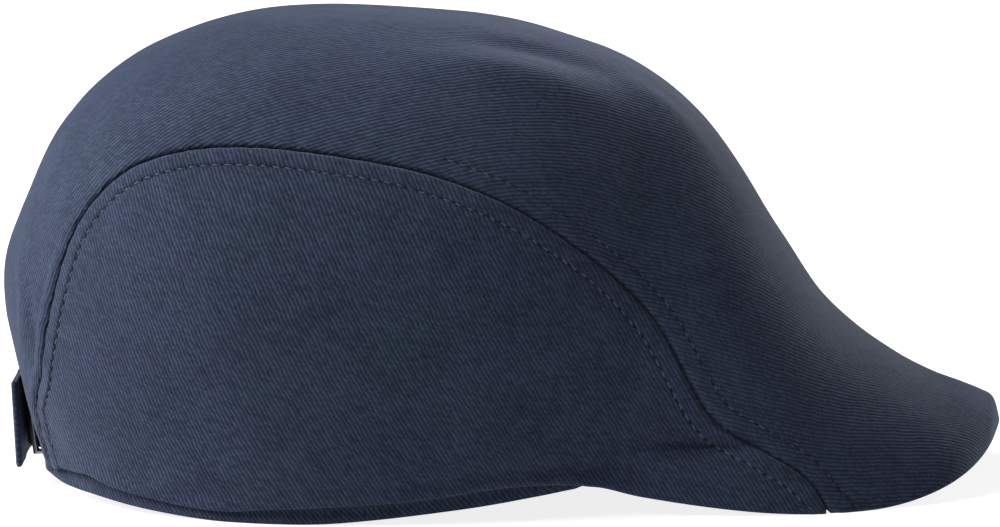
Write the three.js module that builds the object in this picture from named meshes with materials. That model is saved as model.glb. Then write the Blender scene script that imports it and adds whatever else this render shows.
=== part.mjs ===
// Duckbill peaked cap in cotton twill, lying on a flat surface.
// Millimetres, +X to the front of the cap, +Y to the wearer's left, +Z up.
// The origin is under the middle of the cap, on the surface that it rests on.
import * as THREE from 'three';

// Cloth, board and strap thicknesses, and the gap that touching pieces keep.
const CLOTH = 1.6;
const BAND_CLOTH = 1.5;
const STRAP_CLOTH = 1.5;
const BOARD = 2.4;
const GAP = 0.35;
const BAND_HEIGHT = 28;

// The cap's master surface runs over a row of ribs from the back opening to the tip of the peak.
// Each rib leaves the centre line at (topX, topZ) and ends on the lower edge at (edgeX, edgeY, edgeZ).
// endAngle is how far the rib turns. roundY and roundZ are its fullness: 1 is an ellipse, less is boxier.
// seam and hem say where on the rib the panel seam and the side panel's lower edge lie, from 0 to 1.
const RIB_COLUMNS = [
  'topX', 'topZ', 'edgeX', 'edgeY', 'edgeZ', 'endAngle', 'roundY', 'roundZ', 'seam', 'hem'];
const RIB_ROWS = [
  [-135.2, 40.0, -125.0, 34.5, 6.5, 76, 0.95, 0.95, 1.20, 1.0],
  [-138.2, 52.0, -118.9, 43.8, 4.2, 84, 0.85, 0.90, 0.77, 0.955],
  [-137.6, 64.0, -108.8, 55.5, 3.0, 92, 0.82, 0.88, 0.66, 0.96],
  [-132.3, 78.0, -98.5, 64.5, 1.8, 98, 0.80, 0.86, 0.55, 0.97],
  [-122.8, 98.3, -86.0, 72.0, 0.7, 104, 0.78, 0.85, 0.46, 0.98],
  [-109.0, 112.8, -73.8, 77.0, 0.0, 109, 0.76, 0.84, 0.42, 0.982],
  [-90.5, 123.0, -61.5, 80.5, 0.0, 112, 0.75, 0.84, 0.425, 0.975],
  [-68.4, 129.3, -48.0, 82.0, 0.2, 113, 0.75, 0.84, 0.453, 0.972],
  [-43.4, 130.7, -33.5, 82.0, 1.3, 113, 0.75, 0.84, 0.483, 0.973],
  [-18.4, 129.6, -19.0, 80.5, 2.6, 112, 0.75, 0.84, 0.516, 0.974],
  [5.3, 126.4, -4.3, 78.0, 4.2, 110, 0.76, 0.85, 0.563, 0.971],
  [26.2, 120.2, 10.4, 73.5, 6.1, 106, 0.78, 0.86, 0.625, 0.98],
  [42.9, 111.8, 24.0, 67.7, 7.7, 98, 0.80, 0.88, 0.69, 1.0],
  [55.7, 101.0, 37.3, 69.0, 5.2, 90, 0.84, 0.90, 0.744, 1.0],
  [66.8, 86.8, 53.4, 69.5, 2.7, 86, 0.88, 0.94, 0.838, 1.0],
  [78.1, 67.7, 69.6, 69.0, 0.9, 83, 0.92, 0.97, 0.851, 1.0],
  [89.4, 51.6, 84.5, 66.5, 0.0, 80, 0.95, 1.0, 0.924, 1.0],
  [100.7, 40.8, 96.9, 62.5, 0.0, 78, 1.0, 1.0, 1.2, 1.0],
  [112.0, 32.9, 108.1, 57.0, 0.9, 76, 1.0, 1.0, 1.2, 1.0],
  [121.9, 27.6, 118.1, 50.5, 3.1, 74, 1.0, 1.0, 1.2, 1.0],
  [129.5, 24.8, 126.1, 41.8, 5.8, 72, 1.0, 1.0, 1.2, 1.0],
  [135.1, 22.7, 132.6, 30.5, 9.0, 70, 1.0, 1.0, 1.2, 1.0],
  [138.0, 20.5, 136.3, 20.5, 11.8, 66, 1.0, 1.0, 1.2, 1.0],
  [139.9, 15.1, 139.9, 0.0, 15.1, 60, 1.0, 1.0, 1.2, 1.0]];

// Whole-cap landmarks along the ribs, counted in rows of the table.
const ARCH = 0;
const CORNER = 12;
const TIP = RIB_ROWS.length - 1;

// Soft dents and folds, drawn in the side view from (x0, z0) to (x1, z1).
// height is positive outward, width is the half width, and each fold lies on both sides of the cap.
const FOLD_COLUMNS = ['x0', 'z0', 'x1', 'z1', 'width', 'height'];
const FOLD_ROWS = [
  [38, 18.5, 68, 18.5, 4.5, -1.6],
  [45, 13.5, 74, 13.0, 4.5, 0.5],
  [-19, 122.8, 26, 113.5, 6, 1.1],
  [-8, 127.5, 30, 118, 4.5, -0.9],
  [-10, 112, 30, 99, 9, -0.7],
  [30, 116, 66, 80, 7, 0.7],
  [-100, 101, -62, 112, 8, 0.6],
  [-116, 16, -92, 9, 5, 0.6],
  [-117, 22, -90, 15, 4, -0.5]];

// The head opening at the front is an ellipse about the middle of the head.
const HEAD = { centreX: -37, halfLength: 99.5, halfWidth: 79.5 };
const ROOT_HEIGHT = 37.5;
const PEAK_ARCH = 0.0075;

const ribs = RIB_ROWS.map((row) => [...row]);
const folds = FOLD_ROWS.map((row) => Object.fromEntries(row.map((value, i) => [FOLD_COLUMNS[i], value])));
const column = (name) => RIB_COLUMNS.indexOf(name);

// Catmull-Rom value between table rows. The table is mirrored past the tip, so the peak ends round.
function rowAt(index) {
  if (index < 0) {
    return ribs[0].map((value, i) => 2 * value - ribs[-index][i]);
  }
  if (index > TIP) {
    const row = [...ribs[2 * TIP - index]];
    row[column('edgeY')] *= -1;
    return row;
  }
  return ribs[index];
}

function ribAt(s) {
  const i = Math.min(Math.max(Math.floor(s), 0), TIP - 1);
  const f = s - i;
  const [a, b, c, d] = [rowAt(i - 1), rowAt(i), rowAt(i + 1), rowAt(i + 2)];
  const mixed = b.map((value, k) => 0.5 * (2 * value + (c[k] - a[k]) * f
    + (2 * a[k] - 5 * value + 4 * c[k] - d[k]) * f * f
    + (3 * value - a[k] - 3 * c[k] + d[k]) * f * f * f));
  return Object.fromEntries(mixed.map((value, k) => [RIB_COLUMNS[k], value]));
}

// Height of all folds at a point of the side view.
function foldHeight(x, z) {
  let height = 0;
  for (const fold of folds) {
    const along = new THREE.Vector2(fold.x1 - fold.x0, fold.z1 - fold.z0);
    const from = new THREE.Vector2(x - fold.x0, z - fold.z0);
    const t = THREE.MathUtils.clamp(from.dot(along) / along.lengthSq(), 0, 1);
    const distance = from.sub(along.clone().multiplyScalar(t)).length() / fold.width;
    const taper = 0.35 + 0.65 * Math.sin(Math.PI * THREE.MathUtils.clamp(t, 0.02, 0.98));
    height += fold.height * taper * Math.exp(-distance * distance);
  }
  return height;
}

const signedPower = (value, power) => Math.sign(value) * Math.abs(value) ** power;

// Point of the smooth master surface: s along the ribs, u from -1 (right edge) over 0 (top) to 1 (left edge).
function masterPoint(s, u) {
  const rib = ribAt(s);
  const end = THREE.MathUtils.degToRad(rib.endAngle);
  const turn = Math.abs(u) * end;
  const fall = (angle) => 1 - signedPower(Math.cos(angle), rib.roundZ);
  const down = fall(turn) / fall(end);
  const out = rib.edgeY * (Math.sin(turn) / Math.sin(end)) ** rib.roundY;
  return new THREE.Vector3(
    THREE.MathUtils.lerp(rib.topX, rib.edgeX, down),
    Math.sign(u) * out,
    THREE.MathUtils.lerp(rib.topZ, rib.edgeZ, down));
}

function masterNormal(s, u) {
  const near = Math.min(s, TIP - 0.06);
  const alongS = masterPoint(near + 0.03, u).sub(masterPoint(near - 0.03, u));
  const alongU = masterPoint(near, u + 0.005).sub(masterPoint(near, u - 0.005));
  return alongS.cross(alongU).normalize();
}

// Point at a depth below the outer face of the cloth. What lies lowest is flattened by the surface it rests on.
function clothPoint(s, u, depth) {
  const atTip = s > TIP - 0.001;
  const point = masterPoint(s, atTip ? 0 : u);
  const normal = masterNormal(s, atTip ? 0 : u);
  const lift = foldHeight(point.x, point.z) * Math.min(1, Math.abs(point.y) / 12);
  point.addScaledVector(normal, lift - depth);
  point.z = Math.max(point.z, 0);
  return point;
}

const ribLength = (s) => {
  let length = 0;
  for (let i = 0; i < 12; i += 1) {
    length += masterPoint(s, i / 12).distanceTo(masterPoint(s, (i + 1) / 12));
  }
  return length;
};

// Closed sheet between two grids of points: outer(i, j) and inner(i, j), for i in 0..across and j in 0..along.
function sheet(across, along, outer, inner) {
  const positions = [];
  const keys = new Map();
  const vertex = (point) => {
    const key = point.toArray().map((value) => Math.round(value * 500)).join(',');
    if (!keys.has(key)) {
      keys.set(key, positions.length / 3);
      positions.push(...point.toArray());
    }
    return keys.get(key);
  };
  const grid = (face) => Array.from({ length: along + 1 }, (_, j) =>
    Array.from({ length: across + 1 }, (__, i) => vertex(face(i, j))));
  const [top, bottom] = [grid(outer), grid(inner)];
  const indices = [];
  const triangle = (a, b, c) => {
    if (a !== b && b !== c && c !== a) {
      indices.push(a, b, c);
    }
  };
  const quad = (a, b, c, d) => {
    triangle(a, b, c);
    triangle(a, c, d);
  };
  for (let j = 0; j < along; j += 1) {
    for (let i = 0; i < across; i += 1) {
      quad(top[j][i], top[j + 1][i], top[j + 1][i + 1], top[j][i + 1]);
      quad(bottom[j][i], bottom[j][i + 1], bottom[j + 1][i + 1], bottom[j + 1][i]);
    }
    quad(top[j][0], bottom[j][0], bottom[j + 1][0], top[j + 1][0]);
    quad(top[j][across], top[j + 1][across], bottom[j + 1][across], bottom[j][across]);
  }
  for (let i = 0; i < across; i += 1) {
    quad(top[0][i], top[0][i + 1], bottom[0][i + 1], bottom[0][i]);
    quad(top[along][i], bottom[along][i], bottom[along][i + 1], top[along][i + 1]);
  }
  const geometry = new THREE.BufferGeometry();
  geometry.setAttribute('position', new THREE.Float32BufferAttribute(positions, 3));
  geometry.setIndex(indices);
  geometry.computeVertexNormals();
  return geometry;
}

// Evenly spaced values from one to the other.
function stations(from, to, step) {
  const count = Math.max(1, Math.round(Math.abs(to - from) / step));
  return Array.from({ length: count + 1 }, (_, i) => THREE.MathUtils.lerp(from, to, i / count));
}

// First or last station where the side panel is at least `width` mm wide below the seam.
function sidePanelEnd(from, step, width) {
  let s = from;
  while ((ribAt(s).hem - ribAt(s).seam) * ribLength(s) < width) {
    s += step;
  }
  return s;
}

// Both panels are cut at the same stations, so their edges run parallel along the seam.
const SIDE_FIRST = sidePanelEnd(ARCH, 0.01, 2);
const SIDE_LAST = sidePanelEnd(CORNER + 6, -0.01, 1.5);
const CUTS = [
  ...stations(ARCH, TIP - 2, 0.5).filter((s) =>
    Math.abs(s - SIDE_FIRST) > 0.1 && Math.abs(s - SIDE_LAST) > 0.1),
  SIDE_FIRST, SIDE_LAST, ...stations(TIP - 2, TIP, 0.25).slice(1)].sort((a, b) => a - b);

function centrePanel() {
  const across = 18;
  const halfwidth = (s) => Math.min(ribAt(s).seam - 0.5 * GAP / ribLength(s), 1);
  const at = (depth) => (i, j) => {
    const v = (2 * i) / across - 1;
    const u = signedPower(v, 1.2) * halfwidth(CUTS[j]);
    return clothPoint(CUTS[j], u, depth);
  };
  return sheet(across, CUTS.length - 1, at(0), at(CLOTH));
}

function sidePanel(side) {
  const across = 11;
  const cuts = CUTS.filter((s) => s >= SIDE_FIRST && s <= SIDE_LAST);
  const at = (depth) => (i, j) => {
    const rib = ribAt(cuts[j]);
    const margin = 0.5 * GAP / ribLength(cuts[j]);
    const w = side > 0 ? i / across : 1 - i / across;
    const u = THREE.MathUtils.lerp(rib.seam + margin, Math.min(rib.hem, 1), w);
    return clothPoint(cuts[j], side * u, depth);
  };
  return sheet(across, cuts.length - 1, at(0), at(CLOTH));
}

// Sweatband: under the side panels from one back corner to the other, and round the forehead in front.
function bandColumns() {
  const half = [];
  for (const s of stations(ARCH + 0.12, CORNER - 0.5, 0.52)) {
    half.push({ s });
  }
  for (const angle of stations(50, 4, 46 / 7)) {
    half.push({ angle });
  }
  const right = half.map((place) => ({ ...place, side: -1 }));
  const left = half.map((place) => ({ ...place, side: 1 })).reverse();
  return [...right, ...left];
}

function headPoint(angle, depth) {
  const turn = THREE.MathUtils.degToRad(angle);
  return new THREE.Vector2(
    HEAD.centreX + (HEAD.halfLength - depth) * Math.cos(turn),
    (HEAD.halfWidth - depth) * Math.sin(turn));
}

const rootHeight = (y) => ROOT_HEIGHT - PEAK_ARCH * y * y;

function bandPoint(place, rise, depth) {
  if (place.angle !== undefined) {
    const flat = headPoint(place.angle, depth);
    const bottom = rootHeight(flat.y) - 3;
    return new THREE.Vector3(flat.x, place.side * flat.y, bottom + rise * BAND_HEIGHT);
  }
  const rib = ribAt(place.s);
  const u = 1 - rise * BAND_HEIGHT / ribLength(place.s);
  const point = clothPoint(place.s, place.side * u, CLOTH + GAP + depth);
  if (rise === 0) {
    point.z = Math.max(rib.edgeZ, 0);
  }
  return point;
}

function band() {
  const across = 4;
  const places = bandColumns();
  const at = (depth) => (i, j) => bandPoint(places[j], i / across, depth);
  return sheet(across, places.length - 1, at(0), at(BAND_CLOTH));
}

// Stiff peak: from the front of the head opening to the peak's edge, arched from side to side.
function peak() {
  const across = 5;
  const half = [...stations(CORNER + 0.7, TIP - 2, 0.65), ...stations(TIP - 2, TIP - 0.25, 0.4).slice(1)];
  const places = [...half.map((s) => [s, -1]), [TIP, 0], ...half.map((s) => [s, 1]).reverse()];
  const edge = ([s, side], inset, rise) => {
    const before = masterPoint(Math.max(s - 0.1, 0), 1);
    const after = masterPoint(Math.min(s + 0.1, TIP), 1);
    const outward = new THREE.Vector2(after.y - before.y, before.x - after.x).normalize().negate();
    const point = masterPoint(s, 1);
    if (side === 0) {
      outward.set(1, 0);
    }
    return new THREE.Vector3(
      point.x - inset * outward.x, Math.sign(side) * (point.y - inset * outward.y), point.z + rise);
  };
  const root = ([s, side], rise) => {
    const angle = 51 * (TIP - s) / (TIP - CORNER);
    const flat = headPoint(angle, -GAP - 0.3);
    return new THREE.Vector3(flat.x, side * flat.y, rootHeight(flat.y) + rise);
  };
  const at = (inset, lift) => (i, j) => {
    const w = i / across;
    const [from, to] = [root(places[j], lift), edge(places[j], inset, lift)];
    const point = from.clone().lerp(to, w);
    point.z += PEAK_ARCH * w * (1 - w) * (from.y - to.y) ** 2;
    return point;
  };
  return sheet(across, places.length - 1, at(2.5, 0.3), at(4.4, BOARD + 0.3));
}

// Back strap: sewn inside both back corners and crossing the arched opening.
const STRAP = {
  middleX: -132.6, lean: -1.0, bottomZ: 9.4, topZ: 29.4, endBottom: 0.92, endTop: 0.52, tucked: 0.35,
  fullness: 0.78,
};

// Route of the strap's lower (rise 0) or upper (rise 1) edge, from the right corner to the left one.
function strapRoute(rise, depth) {
  const u = THREE.MathUtils.lerp(STRAP.endBottom, STRAP.endTop, rise);
  const below = CLOTH + BAND_CLOTH + 2 * GAP + depth;
  const ends = [STRAP.tucked, 0.1];
  const right = ends.map((s) => clothPoint(s, -u, below));
  const left = ends.map((s) => clothPoint(s, u, below)).reverse();
  const middleZ = THREE.MathUtils.lerp(STRAP.bottomZ, STRAP.topZ, rise);
  const middle = new THREE.Vector3(STRAP.middleX + STRAP.lean * rise + depth, 0, middleZ);
  const shoulder = (end) => new THREE.Vector3(
    THREE.MathUtils.lerp(end.x, middle.x, STRAP.fullness), 0.6 * end.y,
    THREE.MathUtils.lerp(end.z, middle.z, 0.5));
  return [...right, shoulder(right[1]), middle, shoulder(left[0]), ...left];
}

function strapCurve(rise, depth) {
  const [lower, upper] = [strapRoute(0, depth), strapRoute(1, depth)];
  const points = lower.map((point, i) => point.lerp(upper[i], rise));
  return new THREE.CatmullRomCurve3(points, false, 'centripetal');
}

function backStrap() {
  const along = 18;
  const across = 3;
  const curves = [0, STRAP_CLOTH].map((depth) =>
    Array.from({ length: across + 1 }, (_, i) => strapCurve(i / across, depth)));
  const at = (face) => (i, j) => curves[face][i].getPoint(1 - j / along);
  return sheet(across, along, at(0), at(1));
}

// Free end of the strap: lies on the strap at the left and stands off it at the right.
const TAIL = { right: -24, left: 22, bottomZ: 6.0, topZ: 28.8, backX: -132.6, lean: -1.2, cloth: 1.7 };

function strapTail() {
  const along = 12;
  const across = 3;
  const strap = Array.from({ length: across + 1 }, (_, i) => strapCurve(i / across, 0).getPoints(60));
  const strapX = (i, y) => strap[i].reduce((best, point) =>
    (Math.abs(point.y - y) < Math.abs(best.y - y) ? point : best)).x;
  const at = (depth) => (i, j) => {
    const rise = i / across;
    const y = THREE.MathUtils.lerp(TAIL.left, TAIL.right, j / along);
    const lying = strapX(i, y) - GAP;
    const standing = TAIL.backX + TAIL.lean * rise;
    const free = THREE.MathUtils.smoothstep(j / along, 0, 0.55);
    const x = Math.min(THREE.MathUtils.lerp(lying, standing, free), lying);
    return new THREE.Vector3(x - depth, y, THREE.MathUtils.lerp(TAIL.bottomZ, TAIL.topZ, rise));
  };
  return sheet(across, along, at(TAIL.cloth), at(0));
}

// Metal slide: a flat frame round the strap, slanted like the right edge of the opening.
const BUCKLE = { bottomY: -24.4, topY: -16.8, width: 3.0, wire: 0.9, clearOut: 0.6, clearUp: 0.7 };

function buckle() {
  const onStrap = (rise, y) => strapCurve(rise, 0.5 * STRAP_CLOTH).getPoints(120).reduce((best, point) =>
    (Math.abs(point.y - y) < Math.abs(best.y - y) ? point : best));
  const bottom = onStrap(0, BUCKLE.bottomY);
  const top = onStrap(1, BUCKLE.topY);
  const along = onStrap(0.5, BUCKLE.bottomY).sub(onStrap(0.5, BUCKLE.topY)).normalize();
  const up = top.clone().sub(bottom).normalize();
  const out = up.clone().cross(along).normalize();
  const inner = new THREE.Vector2(
    0.5 * STRAP_CLOTH + BUCKLE.clearOut, 0.5 * top.distanceTo(bottom) + BUCKLE.clearUp);
  const outer = inner.clone().addScalar(BUCKLE.wire);
  const rectangle = (path, half) => {
    path.moveTo(-half.x, -half.y);
    path.lineTo(half.x, -half.y);
    path.lineTo(half.x, half.y);
    path.lineTo(-half.x, half.y);
    path.closePath();
    return path;
  };
  const frame = rectangle(new THREE.Shape(), outer);
  frame.holes.push(rectangle(new THREE.Path(), inner));
  const geometry = new THREE.ExtrudeGeometry(frame, { depth: BUCKLE.width, bevelEnabled: false });
  geometry.translate(0, 0, -0.5 * BUCKLE.width);
  const across = out.clone().cross(up).normalize();
  const place = new THREE.Matrix4().makeBasis(out, up, across);
  place.setPosition(bottom.lerp(top, 0.5));
  return geometry.applyMatrix4(place);
}

const NAVY = 0x2a3448;
const cloth = (colour) => new THREE.MeshStandardMaterial({ color: colour, roughness: 0.9, metalness: 0 });
const steel = new THREE.MeshStandardMaterial({ color: 0x9a9c9e, roughness: 0.35, metalness: 1 });

function piece(name, geometry, material) {
  const mesh = new THREE.Mesh(geometry, material);
  mesh.name = name;
  return mesh;
}

// The table's X starts near the middle of the cap, and this moves the cap's middle over the origin.
const MIDDLE_SHIFT = -0.64;

const cap = new THREE.Group();
cap.name = 'peaked_cap';
cap.position.x = MIDDLE_SHIFT;
cap.add(piece('centre_panel', centrePanel(), cloth(NAVY)));
cap.add(piece('side_panel_right', sidePanel(-1), cloth(NAVY)));
cap.add(piece('side_panel_left', sidePanel(1), cloth(NAVY)));
cap.add(piece('sweatband', band(), cloth(0x262f42)));
cap.add(piece('peak', peak(), cloth(0x262f42)));
cap.add(piece('back_strap', backStrap(), cloth(NAVY)));
cap.add(piece('strap_tail', strapTail(), cloth(NAVY)));
cap.add(piece('strap_slide', buckle(), steel));

export default cap;
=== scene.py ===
"""Duckbill flat cap in navy cotton twill, lying on a pale floor.

The cloth pieces are rounded sheets laid on one master surface, which runs over a row of ribs
from the back opening to the tip of the peak. Lengths in the tables are millimetres.
"""
import math

import bmesh
import bpy
import numpy as np
from bpy.props import FloatProperty, FloatVectorProperty, IntProperty, PointerProperty
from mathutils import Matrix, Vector


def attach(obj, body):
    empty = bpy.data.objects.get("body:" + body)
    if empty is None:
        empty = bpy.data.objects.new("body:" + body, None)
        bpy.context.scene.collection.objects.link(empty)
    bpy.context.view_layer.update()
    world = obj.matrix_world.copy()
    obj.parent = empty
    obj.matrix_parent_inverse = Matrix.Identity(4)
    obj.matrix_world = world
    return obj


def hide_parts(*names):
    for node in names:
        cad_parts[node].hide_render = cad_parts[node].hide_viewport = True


bl_info = {
    "name": "Duckbill Flat Cap",
    "version": (1, 0, 0),
    "blender": (4, 5, 0),
    "location": "View3D > Sidebar > Cap",
    "description": "Builds a soft twill cap with a curved peak, topstitching and a back strap",
    "category": "Add Mesh",
}

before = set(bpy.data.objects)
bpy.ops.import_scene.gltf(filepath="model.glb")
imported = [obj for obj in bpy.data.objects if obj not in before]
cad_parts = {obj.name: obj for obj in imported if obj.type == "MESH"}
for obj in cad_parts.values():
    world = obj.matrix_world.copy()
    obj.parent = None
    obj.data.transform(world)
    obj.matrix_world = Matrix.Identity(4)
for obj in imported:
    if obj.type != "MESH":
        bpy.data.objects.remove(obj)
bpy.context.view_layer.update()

MM = 0.001

# Everything is moved this far along X, so that the cap's middle lies at the frame's origin.
MIDDLE_SHIFT = -0.64

# Each rib leaves the centre line at (top_x, top_z) and ends on the lower edge at (edge_x, edge_y, edge_z).
# end_angle is how far it turns, and round_y and round_z are its fullness (1 is an ellipse, less is boxier).
# seam and hem say where on the rib the panel seam and the side panel's lower edge lie, from 0 to 1.
RIB_COLUMNS = (
    "top_x", "top_z", "edge_x", "edge_y", "edge_z", "end_angle", "round_y", "round_z", "seam", "hem")
RIB_ROWS = np.array([
    (-135.2, 40.0, -125.0, 34.5, 6.5, 76, 0.95, 0.95, 1.20, 1.0),
    (-138.2, 52.0, -118.9, 43.8, 4.2, 84, 0.85, 0.90, 0.77, 0.955),
    (-137.6, 64.0, -108.8, 55.5, 3.0, 92, 0.82, 0.88, 0.66, 0.96),
    (-132.3, 78.0, -98.5, 64.5, 1.8, 98, 0.80, 0.86, 0.55, 0.97),
    (-122.8, 98.3, -86.0, 72.0, 0.7, 104, 0.78, 0.85, 0.46, 0.98),
    (-109.0, 112.8, -73.8, 77.0, 0.0, 109, 0.76, 0.84, 0.42, 0.982),
    (-90.5, 123.0, -61.5, 80.5, 0.0, 112, 0.75, 0.84, 0.425, 0.975),
    (-68.4, 129.3, -48.0, 82.0, 0.2, 113, 0.75, 0.84, 0.453, 0.972),
    (-43.4, 130.7, -33.5, 82.0, 1.3, 113, 0.75, 0.84, 0.483, 0.973),
    (-18.4, 129.6, -19.0, 80.5, 2.6, 112, 0.75, 0.84, 0.516, 0.974),
    (5.3, 126.4, -4.3, 78.0, 4.2, 110, 0.76, 0.85, 0.563, 0.971),
    (26.2, 120.2, 10.4, 73.5, 6.1, 106, 0.78, 0.86, 0.625, 0.98),
    (42.9, 111.8, 24.0, 67.7, 7.7, 98, 0.80, 0.88, 0.69, 1.0),
    (55.7, 101.0, 37.3, 69.0, 5.2, 90, 0.84, 0.90, 0.744, 1.0),
    (66.8, 86.8, 53.4, 69.5, 2.7, 86, 0.88, 0.94, 0.834, 1.0),
    (78.5, 68.2, 69.6, 69.0, 0.9, 83, 0.92, 0.97, 0.857, 1.0),
    (89.4, 51.6, 84.5, 66.5, 0.0, 80, 0.95, 1.0, 0.924, 1.0),
    (100.7, 40.8, 96.9, 62.5, 0.0, 78, 1.0, 1.0, 1.2, 1.0),
    (112.0, 32.9, 108.1, 57.0, 0.9, 76, 1.0, 1.0, 1.2, 1.0),
    (121.9, 27.6, 118.1, 50.5, 3.1, 74, 1.0, 1.0, 1.2, 1.0),
    (129.5, 24.8, 126.1, 41.8, 5.8, 72, 1.0, 1.0, 1.2, 1.0),
    (135.1, 22.7, 132.6, 30.5, 9.0, 70, 1.0, 1.0, 1.2, 1.0),
    (138.3, 20.8, 136.3, 20.5, 11.8, 66, 1.0, 1.0, 1.2, 1.0),
    (139.9, 15.1, 139.9, 0.0, 15.1, 60, 1.0, 1.0, 1.2, 1.0)])
COLUMN = {name: i for i, name in enumerate(RIB_COLUMNS)}
ARCH = 0
CORNER = 12
TIP = len(RIB_ROWS) - 1

# How finely the table, and the lengths along and across the ribs, are worked out in advance.
FINE = 100
ARC_FINE = 20
ARC_ACROSS = 64

# Dents and folds in the side view, from (x0, z0) to (x1, z1), on both sides of the cap.
# width is the half width and height is how far the cloth stands out.
FOLD_ROWS = (
    # Folds that the solids have too.
    (38, 18.5, 68, 18.5, 4.5, -1.6),
    (45, 13.5, 74, 13.0, 4.5, 0.5),
    (-10, 112, 30, 99, 9, -0.7),
    (30, 116, 66, 80, 7, 0.9),
    (-100, 101, -62, 112, 8, 0.6),
    (-116, 16, -92, 9, 5, 0.6),
    (-117, 22, -90, 15, 4, -0.5),
    # The sharp bottom of the crease over the peak's root, and the roll below it.
    (36, 19.4, 72, 18.5, 1.5, -2.0),
    (42, 14.4, 74, 13.8, 2.8, 1.0),
    # Small wrinkles at the lower back corner.
    (-119, 11.5, -97, 5, 2.0, 0.5),
    (-114, 15.5, -95, 9.5, 2.0, -0.45),
    (-110, 20, -94, 15, 2.4, 0.3),
    (-98, 7, -82, 11, 2.4, 0.35),
    (-90, 9, -74, 8, 2.2, -0.35),
    (-84, 5, -66, 5, 2.0, 0.3),
    # Soft upright puckers at the back of the centre panel.
    (-133, 44, -134, 72, 2.2, -0.9),
    (-130, 36, -131.5, 66, 1.8, 0.8),
    (-126, 28, -128.5, 60, 1.8, -0.7))

# Dents and folds on the crown, from (x0, y0) to (x1, y1) as seen from above.
TOP_FOLD_ROWS = (
    (-21, 50, 27, 44, 6.5, 2.1),
    (-10, 34, 29, 28, 5.5, -1.6),
    (30, 27, 62, 31, 6.0, 0.8))
CROWN_HEIGHTS = (60, 80)

# Folds fade out within this distance of the centre line.
FOLD_FADE = 12

# How the cloth's ridges lean against the centre line of the centre panel, by rib, in degrees.
RIDGE_LEAN_RIBS = (0.0, 4.0, 8.5, 13.0, 17.0, 23.0)
RIDGE_LEAN = (18.0, 8.0, -20.0, -31.0, -35.0, -23.0)
BAND_RIDGE_ANGLE = 50.0
SIDE_RIDGE_LEAN = (0.906, 0.42)
STRAP_RIDGE_LEAN = (0.77, 0.64)

# How much cloth the weave maps of the band, the strap and the strap's tail span.
BAND_WEAVE_LENGTH = 500
STRAP_WEAVE_LENGTH = 70
TAIL_WEAVE_LENGTH = 46
STRAP_WEAVE_WIDTH = 24

# Distances between ridges of the twill, from the seam to the topstitching, and from one stitch
# inside the seam to the next.
TWILL_PITCH = 1.12
ALLOWANCE = 5.4
SEAM_STITCH = 3.1
SEAM_HALF_GAP = 0.06

# The head opening at the front is an ellipse about the middle of the head.
HEAD_CENTRE_X = -37.0
HEAD_HALF_LENGTH = 99.5
HEAD_HALF_WIDTH = 79.5

# The peak's root is arched: its height on the centre line, and how fast it falls to the sides.
ROOT_HEIGHT = 37.5
PEAK_ARCH = 0.0075

# Height of the sweatband, thickness of the peak's board, and the gap between neighbouring pieces.
BAND_HEIGHT = 28.0
BOARD = 2.4
GAP = 0.35

# The strap: where its middle is, how it leans, the heights of its lower and upper edge, where on the
# rib their ends lie, how far the ends are tucked in, and how full its curve is.
STRAP_MIDDLE_X = -132.6
STRAP_LEAN = -1.0
STRAP_HEIGHTS = (9.4, 29.4)
STRAP_ENDS = (0.92, 0.52)
STRAP_TUCKED = 0.35
STRAP_FULLNESS = 0.78

# The strap's free end reaches from the left to the right, and stands off the strap at the right.
TAIL_RIGHT = -24.0
TAIL_LEFT = 22.0
TAIL_HEIGHTS = (5.3, 29.2)
TAIL_BACK_X = -132.6
TAIL_LEAN = -1.2
TAIL_CLOTH = 1.7
SLIDE_ROUNDING = 0.28

# The centre panel's topstitching starts this far along the seam from the back.
FRONT_STITCHES = 188.0

# The floor is a wide tray, in metres, so that low views end on white. It glows like a light table,
# as the photo's white ground shows no shadow.
FLOOR_HALF = 9.0
FLOOR_RISE = 0.5
FLOOR_GLOW = 0.84
SKY_STRENGTH = 0.01

# Each light is a wide soft source far away: its name, direction, width in degrees and strength.
LIGHTS = (
    ("key", (-0.79, -0.03, 0.61), 44, 9.0),
    ("rim", (0.62, 0.72, 0.25), 30, 2.6),
    ("fill", (-0.35, -0.55, 0.75), 35, 0.2))

# The camera looks at the cap's right side from a little above.
CAMERA_DISTANCE = 1500.0
CAMERA_ELEVATION = 8.0
CAMERA_AIM = (-0.92, 0.0, 58.93)
VIEW_WIDTH = 280.0
SENSOR_WIDTH = 36.0


class CapSizes(bpy.types.PropertyGroup):
    """Sizes of the cloth and its stitching."""

    cloth: FloatProperty(
        name="Cloth", description="Thickness of a panel with its backing",
        default=1.6 * MM, unit="LENGTH")
    band_cloth: FloatProperty(
        name="Band cloth", description="Thickness of the sweatband and the strap",
        default=1.5 * MM, unit="LENGTH")
    twill_pitch: FloatProperty(
        name="Twill pitch", description="Distance between two ridges of the panels' twill",
        default=TWILL_PITCH * MM, unit="LENGTH", precision=5)
    band_pitch: FloatProperty(
        name="Band pitch", description="Distance between two ridges of the sweatband's twill",
        default=1.0 * MM, unit="LENGTH", precision=5)
    allowance: FloatProperty(
        name="Seam allowance", description="Distance from the seam to the topstitching",
        default=ALLOWANCE * MM, unit="LENGTH")
    stitch_pitch: FloatProperty(
        name="Stitch pitch", description="Distance from one stitch to the next",
        default=3.3 * MM, unit="LENGTH", precision=5)
    stitch_length: FloatProperty(
        name="Stitch length", description="Length of the thread that shows in one stitch",
        default=2.4 * MM, unit="LENGTH", precision=5)
    thread: FloatProperty(
        name="Thread", description="Diameter of the sewing thread",
        default=0.32 * MM, unit="LENGTH", precision=5)
    detail: IntProperty(
        name="Detail", description="Rows of the mesh across the centre panel",
        default=190, min=20, max=300)


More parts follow.
